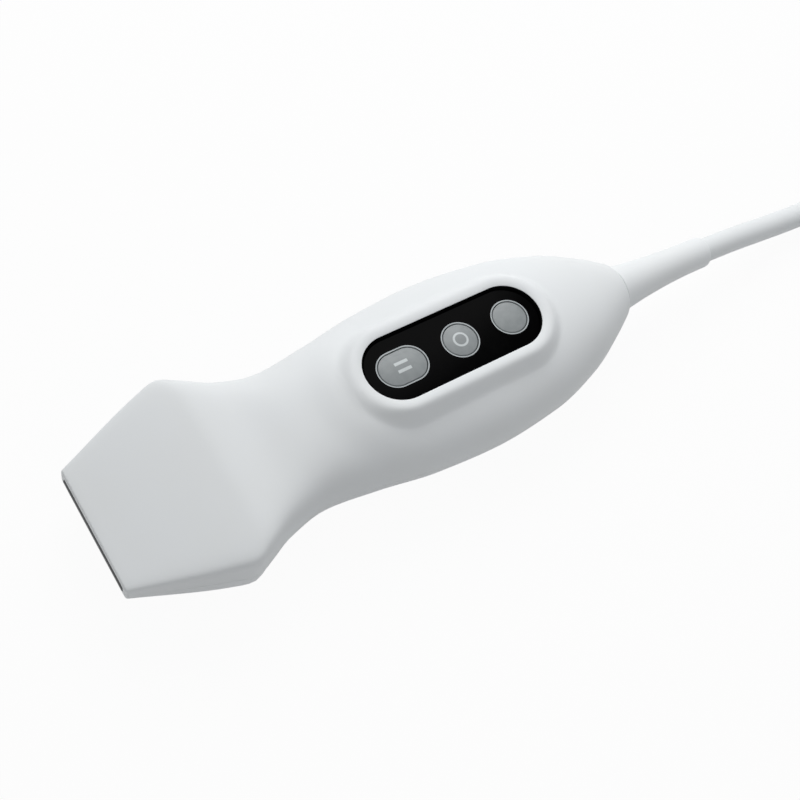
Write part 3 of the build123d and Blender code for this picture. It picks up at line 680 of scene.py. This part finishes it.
def gripMesh():
    spec = plug
    first, last, ease = spec["gripFrom"], spec["gripTo"], spec["ease"]
    places = [(first, ease), (first + 0.2 * ease, 0.4 * ease), (first + ease, 0.0)]
    for i in range(spec["grooves"]):
        start = spec["grooveFrom"] + i * spec["groovePitch"]
        places += dented(start, spec["grooveWidth"], spec["grooveDepth"])
    places += [(last - ease, 0.0), (last - 0.2 * ease, 0.4 * ease), (last, ease)]
    return ringStack([rectRing(x, spec["y"], spec["z"], spec["halfWidth"] - dent, spec["halfHeight"] - dent,
                               spec["corner"]) for x, dent in places])


def shellMesh():
    spec = plug
    wall, lip = spec["shellWall"], spec["shellLip"]
    places = [(spec["shellFrom"], 0.0), (spec["shellTo"] - lip, 0.0), (spec["shellTo"], lip),
              (spec["shellTo"] - lip, wall), (spec["shellFrom"], wall)]
    return ringStack([rectRing(x, spec["y"], spec["z"], spec["shellHalfWidth"] - inset,
                               spec["shellHalfHeight"] - inset, spec["shellCorner"] - inset / 2)
                      for x, inset in places], closed=True)


# strap round the near leg of the hank, doubled on its outer face
tie = {"y": -46.25, "z": -7.1, "from": 326.0, "width": 12.0, "half": 7.5, "corner": 3.0,
       "thick": 0.8, "single": 0.55, "edge": 0.3, "edgeShare": 0.7}


def tieMesh():
    spec = tie
    start, end = spec["from"], spec["from"] + spec["width"]
    edge, eased = spec["edge"], spec["edgeShare"]
    places = ((start, 0.0), (start, eased), (start + edge, 1.0), (end - edge, 1.0), (end, eased), (end, 0.0))
    rings = []
    for x, share in places:
        outer, inner = spec["thick"] * share, spec["single"] * share
        grown = spec["half"] + (outer + inner) / 2
        rings.append(rectRing(x, spec["y"] - (outer - inner) / 2, spec["z"], grown, spec["half"] + inner,
                              spec["corner"] + inner))
    return ringStack(rings, closed=True)


# finishes of the pieces kept from the frame
def speckled(name, first, second, scale, rough, depth=0.00002, **fixed):
    paint = Paint(name, first, **fixed)
    grain = paint.noise(scale, 3.0, 0.6)
    cloud = paint.noise(scale * 0.08, 2.0)
    paint.set(**{"Base Color": paint.blendColor(cloud.step(0.3, 0.7), first, second)})
    paint.set(Roughness=rough + (grain - 0.5) * 0.15)
    paint.bump(grain, depth, 0.4)
    return paint


def brushedMetal(name, color, rough, stretch):
    paint = Paint(name, color, Metallic=1.0)
    lines = paint.noise(600.0, 4.0, 0.6, paint.node("Mapping", None, paint.place(), Scale=stretch))
    cloud = paint.noise(160.0, 2.0)
    dark = tuple(c * 0.86 for c in color)
    paint.set(**{"Base Color": paint.blendColor(cloud.step(0.3, 0.75), color, dark)})
    paint.set(Roughness=rough + (lines - 0.5) * 0.22)
    paint.bump(lines, 0.00001, 0.4)
    return paint


def boardPaint(name):
    paint = Paint(name, (0.02, 0.16, 0.07), Coat_Weight=0.4, Coat_Roughness=0.15)
    x, y, z = paint.axes()
    lanes = ((y * 1100.0).math("FRACT") - 0.5).math("ABSOLUTE")
    breaks = paint.noise(180.0, 1.0).step(0.45, 0.5)
    pads = paint.node("TexVoronoi", {"feature": "F1"}, Vector=paint.place(), Scale=420.0)
    copper = (1.0 - lanes.step(0.12, 0.2)) * breaks
    green = paint.blendColor(copper * 0.6, (0.015, 0.13, 0.055), (0.04, 0.27, 0.12))
    tin = (1.0 - pads.step(0.12, 0.16)) * 0.8
    paint.set(**{"Base Color": paint.blendColor(tin, green, (0.62, 0.62, 0.60))})
    paint.set(Roughness=0.42 - tin * 0.12)
    paint.bump(copper + tin, 0.00004, 0.5)
    return paint


def windowPaint(name):
    black, dusty = (0.0008, 0.0008, 0.0009), (0.02, 0.02, 0.02)
    paint = Paint(name, black, IOR=1.4, Specular_IOR_Level=0.02)
    smear = paint.noise(70.0, 5.0, 0.65)
    dust = paint.noise(5200.0, 2.0)
    paint.set(Roughness=0.10 + smear.step(0.45, 0.8) * 0.12)
    paint.set(**{"Base Color": paint.blendColor(dust.step(0.72, 0.78) * 0.12, black, dusty)})
    return paint


def tonguePaint(name):
    nylon, plating = (0.72, 0.73, 0.75), (0.80, 0.56, 0.20)
    paint = Paint(name, nylon)
    x, y, z = paint.axes()
    lanes = (((y - plug["y"] * mm) * plug["padsPerMetre"]).math("FRACT") - 0.5).math("ABSOLUTE")
    padsFrom = plug["gripTo"] + plug["padsFrom"]
    gold = (1.0 - lanes.step(0.2, 0.24)) * x.step(at(padsFrom).x, at(padsFrom + plug["padsSoft"]).x)
    grain = paint.noise(2000.0, 3.0)
    paint.set(**{"Base Color": paint.blendColor(gold, nylon, plating)})
    paint.set(Metallic=gold, Roughness=0.5 - gold * 0.2 + (grain - 0.5) * 0.1)
    paint.bump(grain * 0.3 + gold, 0.00005, 0.4)
    return paint


paints = {
    "seal": speckled("sealRubber", (0.42, 0.44, 0.45), (0.36, 0.38, 0.39), 2400.0, 0.7),
    "lens": speckled("lensRubber", (0.030, 0.032, 0.035), (0.040, 0.042, 0.046), 2600.0, 0.5),
    "matching": speckled("matchingResin", (0.16, 0.16, 0.18), (0.13, 0.13, 0.15), 3000.0, 0.55),
    "ceramic": speckled("piezoCeramic", (0.55, 0.50, 0.36), (0.49, 0.44, 0.31), 2600.0, 0.65),
    "backing": speckled("backingRubber", (0.035, 0.035, 0.04), (0.06, 0.06, 0.065), 2200.0, 0.75),
    "flex": speckled("flexFilm", (0.62, 0.30, 0.07), (0.52, 0.24, 0.05), 900.0, 0.32),
    "board": boardPaint("boardGreen"),
    "chip": speckled("chipResin", (0.018, 0.018, 0.02), (0.028, 0.028, 0.03), 3400.0, 0.6),
    "socket": speckled("socketNylon", (0.72, 0.69, 0.58), (0.66, 0.63, 0.53), 1800.0, 0.5),
    "sheet": brushedMetal("sheetTin", (0.72, 0.73, 0.74), 0.34, (0.15, 3.0, 1.0)),
    "steel": brushedMetal("screwSteel", (0.58, 0.59, 0.61), 0.36, (1.0, 1.0, 0.3)),
    "window": windowPaint("windowBlack"),
    "tape": speckled("windowTape", (0.03, 0.03, 0.03), (0.04, 0.04, 0.04), 2000.0, 0.8),
    "trim": speckled("trimPale", (0.42, 0.45, 0.46), (0.37, 0.40, 0.41), 3000.0, 0.45),
    "light": speckled("lampResin", (0.80, 0.76, 0.50), (0.74, 0.70, 0.46), 2500.0, 0.25),
    "boot": bootWhite,
    "wire": speckled("wireRed", (0.42, 0.04, 0.03), (0.34, 0.03, 0.025), 2500.0, 0.45),
    "tie": speckled("tieStrap", (0.018, 0.018, 0.02), (0.03, 0.03, 0.033), 2600.0, 0.85, 0.0002),
    "plug_metal": brushedMetal("plugSteel", (0.66, 0.67, 0.69), 0.28, (0.12, 2.5, 2.5)),
    "tongue": tonguePaint("tongueNylon"),
    "housing": shellWhite,
    "jacket": jacketGrey,
}
# painted shade: the black bead on the rim's inner wall
finishPiece(newMesh("windowShadeBead", shadeBeadMesh(), paints["window"], 40), "probe", "window")
sleeve = spunPiece(sleeveProfile(), plug["around"], plug["y"], plug["z"])
finishPiece(newMesh("plugSleeve", sleeve, bootWhite, 40), "probe", "boot", "plug_boot")
finishPiece(newMesh("plugGrip", gripMesh(), bootWhite, 40), "probe", "boot", "plug_grip")
finishPiece(newMesh("plugShell", shellMesh(), paints["plug_metal"], 30), "probe", "plug_metal", "plug_shell")
finishPiece(newMesh("hankTie", tieMesh(), paints["tie"], 40), "probe", "tie", "coil_tie")
at(probe["bodyLength"])
for part in frame["record"]["subparts"]:
    if part["material_slot"] in paints:
        node = frame["nodes"][part["node"]]
        for slot in node.material_slots:
            slot.material = paints[part["material_slot"]].material
print("finishes", len(paints))

# camera at the photograph's angle
view = {"azimuth": -51.23, "elevation": 60.5, "roll": 21.99, "focalPixels": 1300.0,
        "shiftX": 6.96, "shiftY": 5.93, "distance": 361.12, "aim": 100.0, "picture": 800.0,
        "sensor": 36.0, "nearest": 0.01}


def placeCamera():
    a, e, roll = (radians(view[key]) for key in ("azimuth", "elevation", "roll"))
    right = Vector((cos(a), sin(a), 0.0))
    up = Vector((-sin(a) * sin(e), cos(a) * sin(e), cos(e)))
    back = Vector((sin(a) * cos(e), -cos(a) * cos(e), sin(e)))
    sideways = right * cos(roll) + up * sin(roll)
    upward = up * cos(roll) - right * sin(roll)
    spot = at(view["aim"]) - (sideways * view["shiftX"] + upward * view["shiftY"]
                              - back * view["distance"]) * mm
    data = bpy.data.cameras.new("photoCamera")
    data.sensor_width = view["sensor"]
    data.lens = view["sensor"] * view["focalPixels"] / view["picture"]
    data.clip_start = view["nearest"]
    camera = bpy.data.objects.new("photoCamera", data)
    camera.matrix_world = Matrix((
        (sideways.x, upward.x, back.x, spot.x),
        (sideways.y, upward.y, back.y, spot.y),
        (sideways.z, upward.z, back.z, spot.z),
        (0.0, 0.0, 0.0, 1.0)))
    bpy.context.scene.collection.objects.link(camera)
    bpy.context.scene.camera = camera
    return sideways, back


sideways, back = placeCamera()

# studio: a pale floor, a big soft lamp over the far shoulder and a weak fill
studio = {"floorSize": 3.0, "floorGrey": 0.7, "floorGlow": 0.95,
          "worldGrey": 0.45, "worldTint": (0.97, 0.985, 1.0, 1.0),
          "keySpot": (270.0, 350.0, 400.0), "keyAim": (120.0, 0.0, 0.0), "keySize": 0.45, "keyPower": 2.1,
          "fillAim": 95.0, "fillAway": 0.5, "fillSize": 0.5, "fillPower": 0.1}


def areaLamp(name, spot, aim, size, power):
    data = bpy.data.lights.new(name, "AREA")
    data.shape = "DISK"
    data.size = size
    data.energy = power
    lamp = bpy.data.objects.new(name, data)
    lamp.location = spot
    lamp.rotation_euler = (aim - spot).to_track_quat("-Z", "Y").to_euler()
    bpy.context.scene.collection.objects.link(lamp)


def makeStudio():
    bm = bmesh.new()
    bmesh.ops.create_grid(bm, x_segments=1, y_segments=1, size=studio["floorSize"])
    floorPaint = Paint("floorPaper", (studio["floorGrey"],) * 3, Roughness=0.9, Specular_IOR_Level=0.1)
    glow = floorPaint.node("Emission", None, (1.0, 1.0, 1.0, 1.0))
    seen = floorPaint.node("LightPath", output="Is Camera Ray")
    path = seen.socket.node
    for other in ("Is Glossy Ray", "Is Transmission Ray"):
        seen = seen.math("MAXIMUM", Value(floorPaint, path.outputs[other]))
    paper = Value(floorPaint, floorPaint.shader.outputs[0])
    mixed = floorPaint.node("MixShader", None, seen * studio["floorGlow"], paper, glow)
    floorPaint.put(floorPaint.out.inputs["Surface"], mixed)
    floor = newMesh("floor", bm, floorPaint)
    world = bpy.data.worlds.new("studio")
    world.use_nodes = True
    ground = world.node_tree.nodes["Background"]
    ground.inputs["Color"].default_value = studio["worldTint"]
    ground.inputs["Strength"].default_value = studio["worldGrey"]
    bpy.context.scene.world = world
    aim = at(studio["fillAim"])
    fillSpot = aim + (sideways + back) * studio["fillAway"]
    areaLamp("keyLamp", at(*studio["keySpot"]), at(*studio["keyAim"]), studio["keySize"], studio["keyPower"])
    areaLamp("fillLamp", fillSpot, aim, studio["fillSize"], studio["fillPower"])


makeStudio()
bpy.context.scene.view_settings.view_transform = "Standard"
print("camera and studio")
